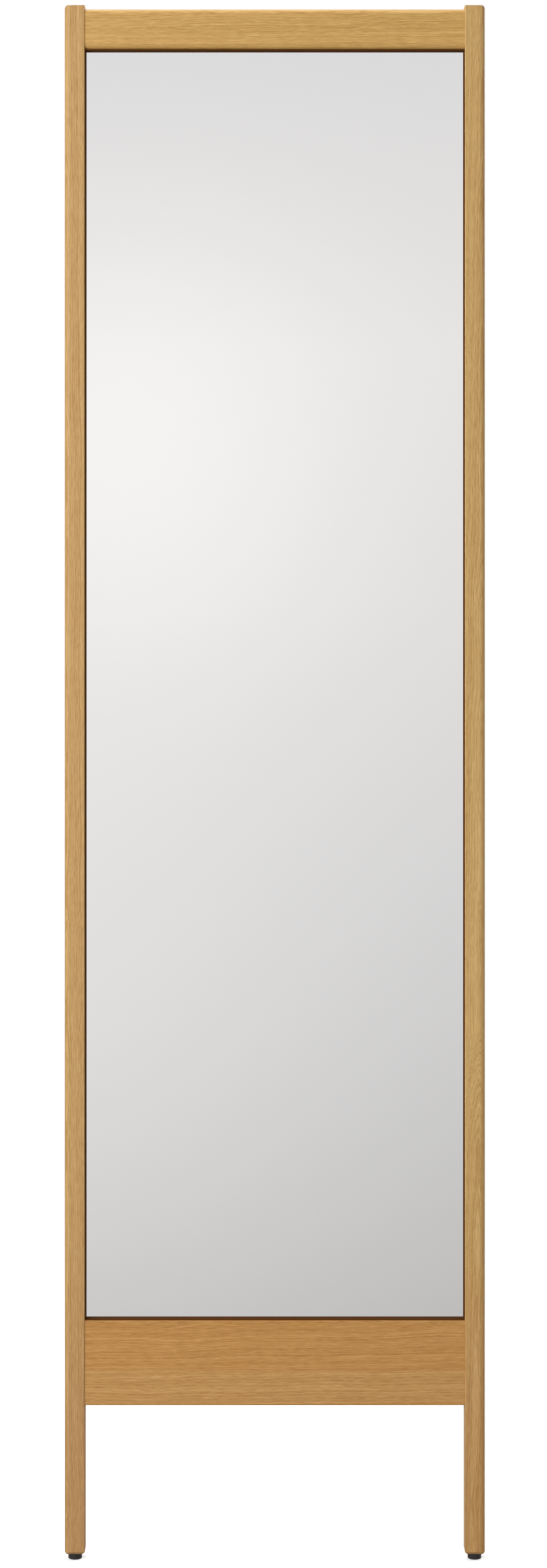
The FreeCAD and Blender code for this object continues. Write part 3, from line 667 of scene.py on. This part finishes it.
silvered, tree, surface = new_finish("silvered_glass")
surface.inputs["Base Color"].default_value = SILVER
surface.inputs["Metallic"].default_value = 1.0
surface.inputs["Roughness"].default_value = 0.0
place = node(tree, "TexCoord", {}, out="Object")
bumped(tree, surface, noise(tree, place, RIPPLE_CELL, detail=1.0), *RIPPLE_RELIEF)
ground_edge = speckled("ground_glass_edge", EDGE_CELL, EDGE_SHADES, {"Roughness": 0.45})
back_paint = speckled("mirror_back_paint", PAINT_CELL, PAINT_SHADES, {"Roughness": 0.5}, detail=4.0)

low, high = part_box("mirror_glass")
sheet = block(low, high)
rims = [edge for edge in sheet.edges if abs(edge.verts[0].co.y - edge.verts[1].co.y) < ARRIS]
bmesh.ops.bevel(sheet, geom=rims, offset=ARRIS, segments=1, affect="EDGES")
for face in sheet.faces:
    face.material_index = 0 if face.normal.y < -FACING else 2 if face.normal.y > FACING else 1
glass = make("silvered_mirror", sheet)
for finish in (silvered, ground_edge, back_paint):
    glass.data.materials.append(finish)
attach(glass, "frame")
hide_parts("mirror_glass")


# The safety film and the mounting tape: a clear film over the mirror's painted back, which holds
# the splinters if the glass breaks, and three strips of white foam tape that hold it on the panel.
FILM_SHADES = (colour(188, 196, 200), colour(200, 206, 209))
FILM_CELL = (0.004, 0.03)
FOAM_SHADES = ((0, colour(214, 214, 208)), (0.8, colour(240, 240, 235)))
FOAM_CELL = (0.0004, 0.0004)
FOAM_ROUGHNESS = 0.9

film = speckled("safety_film_satin", FILM_CELL, FILM_SHADES, {"Roughness": 0.35})
paint("safety_film", film)

foam, tree, surface = new_finish("white_foam")
place = node(tree, "TexCoord", {}, out="Object")
bubbles = node(tree, "TexVoronoi", {"Vector": stretched(tree, place, *FOAM_CELL)}, out="Distance")
tree.links.new(ramp(tree, bubbles, *FOAM_SHADES), surface.inputs["Base Color"])
surface.inputs["Roughness"].default_value = FOAM_ROUGHNESS
paint("mounting_tape", foam)


# The back panel: one sheet of 6 mm hardboard, pressed from brown wood fibre, which closes the
# rebate. Its outer face is smooth and a little glossy.
BOARD_SHADES = ((0.3, colour(122, 91, 62)), (0.5, colour(146, 113, 80)), (0.72, colour(168, 136, 100)))
FLUFF_CELL = (0.0011, 0.0022)
BLOTCH_CELL = (0.12, 0.16)
BLOTCH_TONES = (0.92, 1.05)
BOARD_ROUGHNESS = (0.48, 0.62)
BOARD_RELIEF = (0.35, 0.0001)

hardboard, tree, surface = new_finish("brown_hardboard")
place = node(tree, "TexCoord", {}, out="Object")
fluff = noise(tree, place, FLUFF_CELL, detail=5.0)
board = ramp(tree, fluff, *BOARD_SHADES)
blotch = noise(tree, place, BLOTCH_CELL, detail=3.0)
blotch = ranged(tree, blotch, NOISE_LOW, NOISE_HIGH, *BLOTCH_TONES)
tree.links.new(mixed(tree, 1.0, board, blotch, "MULTIPLY"), surface.inputs["Base Color"])
dullness = ranged(tree, fluff, NOISE_LOW, NOISE_HIGH, *BOARD_ROUGHNESS)
tree.links.new(dullness, surface.inputs["Roughness"])
bumped(tree, surface, fluff, *BOARD_RELIEF)
paint("back_panel", hardboard)


# The back panel screws: fourteen small zinc-plated pan-head screws with a cross recess, driven
# through the panel into the rebate all round.
SCREW_CORE = 0.0015
SCREW_LENGTH = 0.016
SCREW_TIP = 0.003
SCREW_HEAD = 0.00325
HEAD_HEIGHT = 0.002
HEAD_ROUND = 0.0012
RECESS_REACH = 0.0016
RECESS_HALF = 0.00035
RECESS_DEPTH = 0.0012
SIDE_SCREWS = 5
END_MARGIN = 0.08
RAIL_SCREW = 0.12
GOLDEN_TURN = 2.4
NEAR_AXIS = 0.0001
ZINC_SHADES = (colour(170, 174, 178), colour(205, 208, 210))
ZINC_ROUGHNESS = (0.28, 0.4)
ZINC_MARKS = (0.0005, 0.0012)
METAL_RELIEF = (0.25, 0.00004)
NO_THREAD = (1, 0, 0, 1)


def turned(profile, steps=48, closed=False, thread=NO_THREAD):
    """A solid turned about the z axis from (radius, height) points. A thread is its lowest and
    highest place, its depth and its pitch, and winds right-handed up the axis."""
    lowest, highest, depth, pitch = thread
    solid = bmesh.new()
    rows = []
    for radius, height in profile:
        if radius == 0:
            rows.append([solid.verts.new((0, 0, height))] * steps)
            continue
        row = []
        for step in range(steps):
            turn = 2 * math.pi * step / steps
            reach = radius
            if lowest <= height <= highest:
                reach -= depth * (0.5 - 0.5 * math.cos(2 * math.pi * height / pitch - turn))
            row.append(solid.verts.new((reach * math.cos(turn), reach * math.sin(turn), height)))
        rows.append(row)
    pairs = list(zip(rows, rows[1:])) + ([(rows[-1], rows[0])] if closed else [])
    for one, other in pairs:
        for step in range(steps):
            ahead = (step + 1) % steps
            corners = dict.fromkeys((one[step], one[ahead], other[ahead], other[step]))
            solid.faces.new(list(corners))
    bmesh.ops.recalc_face_normals(solid, faces=solid.faces)
    return solid


def moved(solid, spot, turn=Matrix()):
    """A copy of a solid, turned and set at a spot."""
    copy = solid.copy()
    bmesh.ops.transform(copy, matrix=Matrix.Translation(spot) @ turn, verts=copy.verts)
    return copy


def metal(name, shades, roughness, marks_cell):
    """Plated or turned metal with fine marks."""
    finish, tree, surface = new_finish(name)
    place = node(tree, "TexCoord", {}, out="Object")
    marks = noise(tree, place, marks_cell, detail=3.0)
    tree.links.new(two_shades(tree, marks, *shades), surface.inputs["Base Color"])
    surface.inputs["Metallic"].default_value = 1.0
    dullness = ranged(tree, marks, NOISE_LOW, NOISE_HIGH, *roughness)
    tree.links.new(dullness, surface.inputs["Roughness"])
    bumped(tree, surface, marks, *METAL_RELIEF)
    return finish


UPRIGHT_TO_BACK = Matrix.Rotation(-math.pi / 2, 4, "X")
rim = rounded(
    [
        (NEAR_AXIS, 0, 0),
        (SCREW_HEAD, 0, 0),
        (SCREW_HEAD, HEAD_HEIGHT, HEAD_ROUND),
        (NEAR_AXIS, HEAD_HEIGHT, 0),
    ],
    steps=10,
)[1:-1]
screw_profile = [(0, -SCREW_LENGTH), (SCREW_CORE, SCREW_TIP - SCREW_LENGTH), (SCREW_CORE, 0)]
screw_profile += [tuple(point) for point in rim] + [(0, HEAD_HEIGHT)]
model = make("screw_model", turned(screw_profile))
arms = [
    block((-long, -wide, HEAD_HEIGHT - RECESS_DEPTH), (long, wide, HEAD_HEIGHT + OVERRUN))
    for long, wide in ((RECESS_REACH, RECESS_HALF), (RECESS_HALF, RECESS_REACH))
]
carve(model, *arms)
screw = bmesh.new()
screw.from_mesh(model.data)
bpy.data.objects.remove(model)

panel_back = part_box("back_panel")[1].y
screw_line = (GLASS_STEP + PANEL_STEP) / 2
side_gap = (SIGHT_HIGH - SIGHT_LOW - 2 * END_MARGIN) / (SIDE_SCREWS - 1)
spots = [
    (side * (SIGHT + screw_line), panel_back, SIGHT_LOW + END_MARGIN + side_gap * number)
    for side in (-1, 1)
    for number in range(SIDE_SCREWS)
]
spots += [
    (side * RAIL_SCREW, panel_back, height)
    for side in (-1, 1)
    for height in (SIGHT_LOW - screw_line, SIGHT_HIGH + screw_line)
]
screws = [
    moved(screw, spot, UPRIGHT_TO_BACK @ Matrix.Rotation(GOLDEN_TURN * number, 4, "Z"))
    for number, spot in enumerate(spots)
]
screw.free()
zinc = metal("zinc_plate", ZINC_SHADES, ZINC_ROUGHNESS, ZINC_MARKS)
panel_screws = make("pan_head_screws", *screws)
smooth(panel_screws, sharpest=40)
panel_screws.data.materials.append(zinc)
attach(panel_screws, "frame")
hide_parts("back_panel_screws")


# The bracket inserts: two turned brass inserts, pressed flush into the top rail's back. Their
# threads take the screws of the bracket or strap that keeps the leaning mirror from tipping.
INSERT_RIM = 0.004
INSERT_LEAD = 0.0006
INSERT_LENGTH = 0.01
BRACKET_BORE = 0.0025
BRACKET_PITCH = 0.0008
BRACKET_THREAD_DEPTH = 0.0003
ROWS_PER_TURN = 8
BRASS_SHADES = (colour(180, 142, 76), colour(214, 178, 104))
BRASS_ROUGHNESS = (0.25, 0.37)
BRASS_MARKS = (0.0015, 0.00025)


def insert_profile(bore, rim, length, pitch):
    """A tube with chamfered rims and close rows down its bore for the thread."""
    rows = math.ceil(length / pitch * ROWS_PER_TURN)
    down_bore = [(bore, length - length * row / rows) for row in range(1, rows)]
    outside = [
        (bore, 0),
        (rim - INSERT_LEAD, 0),
        (rim, INSERT_LEAD),
        (rim, length - INSERT_LEAD),
        (rim - INSERT_LEAD, length),
        (bore, length),
    ]
    return outside + down_bore


brass = metal("turned_brass", BRASS_SHADES, BRASS_ROUGHNESS, BRASS_MARKS)
low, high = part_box("wall_bracket_inserts")
bracket_thread = (INSERT_LEAD, INSERT_LENGTH - INSERT_LEAD, -BRACKET_THREAD_DEPTH, BRACKET_PITCH)
tube_profile = insert_profile(BRACKET_BORE, INSERT_RIM, INSERT_LENGTH, BRACKET_PITCH)
tube = turned(tube_profile, closed=True, thread=bracket_thread)
tubes = [moved(tube, (across, low.y, BRACKET_HEIGHT), UPRIGHT_TO_BACK) for across in BRACKET_SPOTS]
tube.free()
bracket_inserts = make("brass_bracket_inserts", *tubes)
smooth(bracket_inserts, sharpest=40)
bracket_inserts.data.materials.append(brass)
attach(bracket_inserts, "frame")
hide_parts("wall_bracket_inserts")


# The wall bumpers: two soft grey rubber buttons, each moulded with a plug that is pressed into a
# hole in the stile's back. They keep the leaning mirror off the wall's paint.
BUMPER_RIM = 0.006
BUMPER_PROUD = 0.0025
BUMPER_EDGE = 0.001
BUMPER_PLUG = 0.0025
BUMPER_PLUG_LENGTH = 0.006
DISH_RIM = 0.0036
DISH_DEPTH = 0.0003
DISH_SLOPE = 0.0004
BUTTON_ARRIS = 0.0002
BUTTON_SHADES = (colour(134, 134, 130), colour(150, 150, 146))
BUTTON_CELL = (0.0012, 0.0012)
BUTTON_SURFACE = {"Roughness": 0.68, "Subsurface Weight": 0.08}
BUTTON_RELIEF = (0.3, 0.00008)

soft_rubber = speckled(
    "grey_soft_rubber", BUTTON_CELL, BUTTON_SHADES, BUTTON_SURFACE, BUTTON_RELIEF, detail=3.0
)
button = rounded(
    [
        (NEAR_AXIS, 0, 0),
        (BUMPER_RIM, 0, BUTTON_ARRIS),
        (BUMPER_RIM, BUMPER_PROUD, BUMPER_EDGE),
        (DISH_RIM, BUMPER_PROUD, BUTTON_ARRIS),
        (DISH_RIM - DISH_SLOPE, BUMPER_PROUD - DISH_DEPTH, BUTTON_ARRIS),
        (NEAR_AXIS, BUMPER_PROUD - DISH_DEPTH, 0),
    ],
    steps=8,
)[1:-1]
button_profile = [(0, -BUMPER_PLUG_LENGTH), (BUMPER_PLUG, -BUMPER_PLUG_LENGTH), (BUMPER_PLUG, 0)]
button_profile += [tuple(point) for point in button] + [(0, BUMPER_PROUD - DISH_DEPTH)]
for side in ("left", "right"):
    low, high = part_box(side + "_wall_bumper")
    spot = ((low.x + high.x) / 2, high.y - BUMPER_PROUD, (low.z + high.z) / 2)
    solid = turned(button_profile)
    bumper = make(side + "_rubber_button", moved(solid, spot, UPRIGHT_TO_BACK))
    solid.free()
    smooth(bumper, sharpest=40)
    bumper.data.materials.append(soft_rubber)
    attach(bumper, "frame")
    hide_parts(side + "_wall_bumper")


# The levelling feet: a brass insert sits flush in the end of each leg. A threaded steel stem turns
# in it, driven by a key from below, and its flat head is held in a black moulded pad.
FOOT_INSERT_RIM = 0.0045
FOOT_BORE = 0.0031
STEM_PITCH = 0.001
STEM_RADIUS = 0.003
STEM_HEAD = 0.005
STEM_HEAD_HEIGHT = 0.0024
STEM_TIP = 0.001
SOCKET_WIDTH = 0.003
SOCKET_DEPTH = 0.003
KEY_HOLE = 0.0025
PAD_RIM = 0.0085
PAD_HEIGHT = 0.0075
PAD_FOOT_ROUND = 0.0015
PAD_TOP_ROUND = 0.0008
PAD_NECK = 0.0032
PAD_POCKET = 0.0052
PAD_FLOOR = 0.0025
PAD_CEILING = 0.0051
GROOVE_RIM = 0.0062
GROOVE_DEPTH = 0.0004
GROOVE_WIDTH = 0.001
GROOVE_SLOPE = 0.0002
PAD_ARRIS = 0.0003
FOOT_THREAD_DEPTH = 0.0002
STEM_THREAD_DEPTH = 0.0005
SOCKET_FLATS = 6
BLACK_SHADES = (colour(25, 22, 21), colour(34, 31, 29))
BLACK_CELL = (0.0003, 0.0003)
BLACK_RELIEF = (0.4, 0.00006)

black_plastic = speckled(
    "black_moulded_plastic", BLACK_CELL, BLACK_SHADES, {"Roughness": 0.52}, BLACK_RELIEF
)
pad_profile = rounded(
    [
        (KEY_HOLE, 0, PAD_ARRIS),
        (GROOVE_RIM - GROOVE_WIDTH - GROOVE_SLOPE, 0, 0),
        (GROOVE_RIM - GROOVE_WIDTH, GROOVE_DEPTH, 0),
        (GROOVE_RIM, GROOVE_DEPTH, 0),
        (GROOVE_RIM + GROOVE_SLOPE, 0, 0),
        (PAD_RIM, 0, PAD_FOOT_ROUND),
        (PAD_RIM, PAD_HEIGHT, PAD_TOP_ROUND),
        (PAD_NECK, PAD_HEIGHT, PAD_ARRIS),
        (PAD_NECK, PAD_CEILING, 0),
        (PAD_POCKET, PAD_CEILING, 0),
        (PAD_POCKET, PAD_FLOOR, 0),
        (KEY_HOLE, PAD_FLOOR, 0),
    ],
    steps=8,
)
for side in ("left", "right"):
    low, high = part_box(side + "_foot_insert")
    axis = ((low.x + high.x) / 2, (low.y + high.y) / 2)
    length = high.z - low.z
    foot_thread = (INSERT_LEAD, length - INSERT_LEAD, -FOOT_THREAD_DEPTH, STEM_PITCH)
    foot_profile = insert_profile(FOOT_BORE, FOOT_INSERT_RIM, length, STEM_PITCH)
    solid = turned(foot_profile, closed=True, thread=foot_thread)
    insert = make(side + "_brass_foot_insert", moved(solid, (*axis, low.z)))
    solid.free()
    smooth(insert, sharpest=40)
    insert.data.materials.append(brass)
    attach(insert, "frame")
    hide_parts(side + "_foot_insert")

    low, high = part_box(side + "_foot_stem")
    length = high.z - low.z
    reach = length - STEM_HEAD_HEIGHT - STEM_TIP
    rows = math.ceil(reach / STEM_PITCH * ROWS_PER_TURN)
    stem_profile = [(0, 0), (STEM_HEAD, 0), (STEM_HEAD, STEM_HEAD_HEIGHT)]
    stem_profile += [(STEM_RADIUS, STEM_HEAD_HEIGHT + reach * row / rows) for row in range(rows + 1)]
    stem_profile += [(STEM_RADIUS - STEM_TIP, length), (0, length)]
    stem_thread = (STEM_HEAD_HEIGHT + STEM_PITCH, length, STEM_THREAD_DEPTH, STEM_PITCH)
    solid = turned(stem_profile, steps=36, thread=stem_thread)
    stem = make(side + "_steel_stem", moved(solid, (*axis, low.z)))
    solid.free()
    corner = SOCKET_WIDTH / 2 / math.cos(math.pi / SOCKET_FLATS)
    carve(stem, prism(ring(*axis, corner, SOCKET_FLATS), low.z - OVERRUN, low.z + SOCKET_DEPTH, "z"))
    smooth(stem, sharpest=40)
    stem.data.materials.append(zinc)
    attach(stem, side + "_stem")
    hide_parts(side + "_foot_stem")

    solid = turned([tuple(point) for point in pad_profile], steps=64, closed=True)
    pad = make(side + "_black_pad", moved(solid, (*axis, 0)))
    solid.free()
    smooth(pad, sharpest=40)
    pad.data.materials.append(black_plastic)
    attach(pad, side + "_pad")
    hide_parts(side + "_foot_pad")


# The studio: a pale floor that fades to white, a large soft lamp at the left at eye height, one
# overhead and one behind. The air lights the object more from above than from the sides. Mirror and
# metal see a soft grey sweep with two glows in it.
FLOOR_SIZE = 40
FADE_START = 0.5
FADE_END = 2.6
PAPER = (0.88, 0.88, 0.88, 1)
PAPER_GLOW = 0.42
DULL_PAPER = (0.4, 0.4, 0.4, 1)
SWEEP_SPAN = 0.5
SWEEP_SHADES = (
    (0.0, colour(172, 172, 170)),
    (0.26, colour(181, 181, 179)),
    (0.34, colour(197, 197, 196)),
    (0.42, colour(212, 212, 211)),
    (0.5, colour(226, 225, 223)),
    (0.58, colour(233, 232, 229)),
    (0.68, colour(223, 223, 223)),
    (1.0, colour(204, 205, 207)),
)
UPPER_GLOW = ((-0.045, -1, 0.052), 0.053, 0.2)
LOWER_GLOW = ((-0.093, -1, -0.132), 0.103, 0.205)
GLOW_TONE = (1.5, 1.48, 1.45, 1)
AIR_LEVEL = 0.385
AIR_ABOVE = 0.72
MIDDLE = Vector((0, 0, 1.0))
LAMPS = (
    ("key_lamp", (-2.3, -2.9, 1.8), 1.8, 90),
    ("overhead_lamp", (-0.4, 0.2, 4.2), 2.0, 51),
    ("back_lamp", (1.8, 3.2, 2.6), 2.0, 45),
)

floor_finish = bpy.data.materials.new("studio_floor")
floor_finish.use_nodes = True
tree = floor_finish.node_tree
tree.nodes.clear()
rays = tree.nodes.new("ShaderNodeLightPath")
paper = node(tree, "BsdfDiffuse", {"Color": PAPER})
paper_glow = node(tree, "Emission", {"Color": WHITE, "Strength": PAPER_GLOW})
lit_paper = node(tree, "AddShader", {0: paper, 1: paper_glow})
white = node(tree, "Emission", {"Color": WHITE, "Strength": 1.0})
place = node(tree, "TexCoord", {}, out="Object")
reach = node(tree, "VectorMath", {0: place}, operation="LENGTH", out="Value")
far = ranged(tree, reach, FADE_START, FADE_END, soft=True)
seen = node(tree, "MixShader", {0: far, 1: lit_paper, 2: white})
dull_paper = node(tree, "BsdfDiffuse", {"Color": DULL_PAPER})
bounced = node(tree, "MixShader", {0: rays.outputs["Is Camera Ray"], 1: dull_paper, 2: seen})
open_air = node(tree, "BsdfTransparent", {})
glossy = sum_of(tree, "MAXIMUM", rays.outputs["Is Glossy Ray"], rays.outputs["Is Transmission Ray"])
floor_skin = node(tree, "MixShader", {0: glossy, 1: bounced, 2: open_air})
output = tree.nodes.new("ShaderNodeOutputMaterial")
tree.links.new(floor_skin, output.inputs["Surface"])

half = FLOOR_SIZE / 2
floor_mesh = bpy.data.meshes.new("floor")
floor_corners = [(-half, -half, 0), (half, -half, 0), (half, half, 0), (-half, half, 0)]
floor_mesh.from_pydata(floor_corners, [], [(0, 1, 2, 3)])
floor = bpy.data.objects.new("studio_floor", floor_mesh)
bpy.context.collection.objects.link(floor)
floor.data.materials.append(floor_finish)

world = bpy.data.worlds.new("studio_air")
bpy.context.scene.world = world
world.use_nodes = True
tree = world.node_tree
tree.nodes.clear()
rays = tree.nodes.new("ShaderNodeLightPath")
way = node(tree, "TexCoord", {}, out="Generated")
climb = node(tree, "SeparateXYZ", {0: way}, out="Z")
sweep = ramp(tree, ranged(tree, climb, -SWEEP_SPAN, SWEEP_SPAN), *SWEEP_SHADES)


def lobe(towards, spread, strength):
    """A soft glow in one direction."""
    aim = tuple(Vector(towards).normalized())
    near = node(tree, "VectorMath", {0: way, 1: aim}, operation="DOT_PRODUCT", out="Value")
    fall = sum_of(tree, "MULTIPLY", sum_of(tree, "SUBTRACT", near, 1.0), 1 / spread**2)
    return sum_of(tree, "MULTIPLY", sum_of(tree, "EXPONENT", fall), strength)


glows = sum_of(tree, "ADD", lobe(*UPPER_GLOW), lobe(*LOWER_GLOW))
sweep = mixed(tree, glows, sweep, GLOW_TONE)
backdrop = mixed(tree, rays.outputs["Is Camera Ray"], sweep, WHITE)
seen_straight = sum_of(tree, "MAXIMUM", rays.outputs["Is Camera Ray"], rays.outputs["Is Glossy Ray"])
seen_straight = sum_of(tree, "MAXIMUM", seen_straight, rays.outputs["Is Transmission Ray"])
air_strength = ranged(tree, climb, 0.0, 1.0, AIR_LEVEL, AIR_ABOVE)
air = node(tree, "Background", {"Color": WHITE, "Strength": air_strength})
seen_air = node(tree, "Background", {"Color": backdrop, "Strength": 1.0})
output = tree.nodes.new("ShaderNodeOutputWorld")
tree.links.new(node(tree, "MixShader", {0: seen_straight, 1: air, 2: seen_air}), output.inputs["Surface"])

for name, spot, size, power in LAMPS:
    lamp = bpy.data.lights.new(name, "AREA")
    lamp.shape = "DISK"
    lamp.size = size
    lamp.energy = power
    holder = bpy.data.objects.new(name, lamp)
    holder.location = spot
    holder.rotation_euler = (MIDDLE - Vector(spot)).to_track_quat("-Z", "Y").to_euler()
    bpy.context.collection.objects.link(holder)


# The camera: square on to the mirror, as the photograph was taken. It stands a little above the
# mirror's middle, and a small shift of the lens brings the whole mirror into the frame.
LENS = 73.22
CAMERA_DISTANCE = 3.956
CAMERA_HEIGHT = 1.181
CAMERA_ACROSS = -0.0016
SHIFT = -0.1138
SENSOR_WIDTH = 36

lens = bpy.data.cameras.new("photo_camera")
lens.lens = LENS
lens.sensor_width = SENSOR_WIDTH
lens.shift_y = SHIFT
camera = bpy.data.objects.new("photo_camera", lens)
camera.location = (CAMERA_ACROSS, -CAMERA_DISTANCE, CAMERA_HEIGHT)
camera.rotation_euler = (math.pi / 2, 0, 0)
bpy.context.collection.objects.link(camera)
bpy.context.scene.camera = camera
bpy.context.scene.view_settings.view_transform = "Standard"
